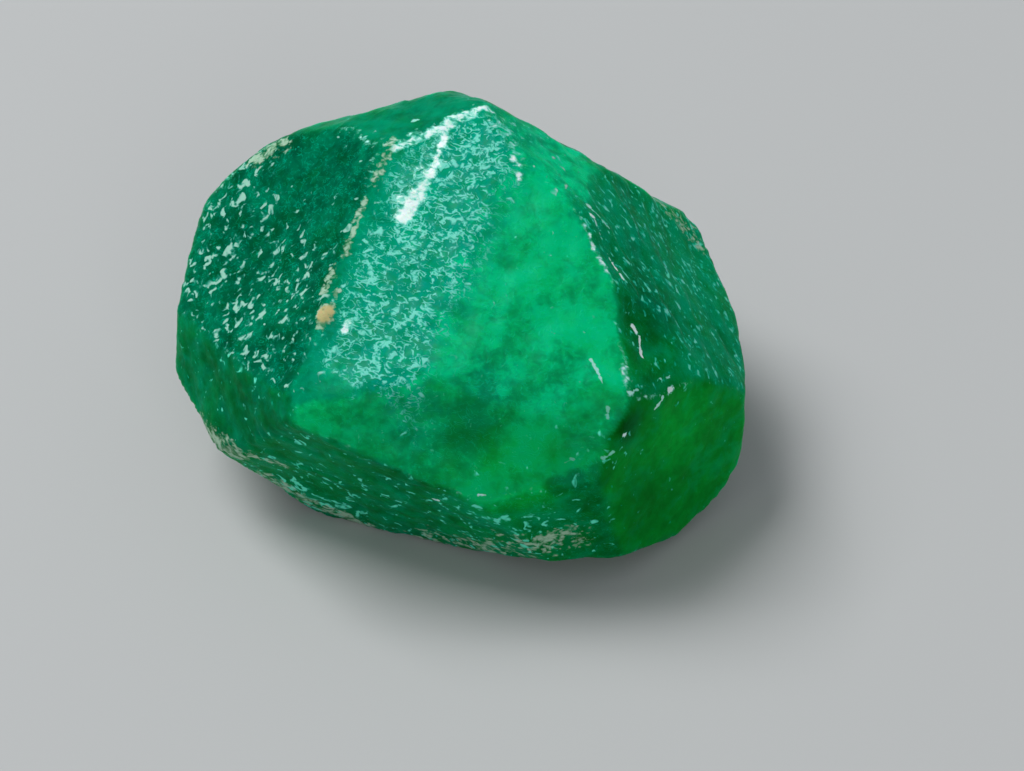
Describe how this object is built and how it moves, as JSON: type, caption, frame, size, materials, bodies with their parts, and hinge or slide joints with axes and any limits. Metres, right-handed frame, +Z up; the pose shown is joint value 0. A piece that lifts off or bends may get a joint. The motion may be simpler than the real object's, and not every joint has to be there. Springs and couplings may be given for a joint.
{
  "type": "raw emerald crystal",
  "caption": "Loose raw emerald crystal: an irregular lump with flat broken faces, worn ridges, shell-shaped hollows and crumbs of host rock, resting on a flat underside.",
  "frame": {"origin": "middle of the bounding box's bottom, on the flat face that the stone rests on", "axes": "+X along the stone's length, to its right end seen from the front; -Y to its front; +Z up, its shortest extent"},
  "size_m": [0.0161, 0.0142, 0.0107],
  "materials": {
    "emerald": "cloudy green beryl, see-through at thin edges, with frosted broken faces and pale specks"
  },
  "bodies": {
    "root": {"emerald_crystal": "emerald"}
  },
  "joints": []
}
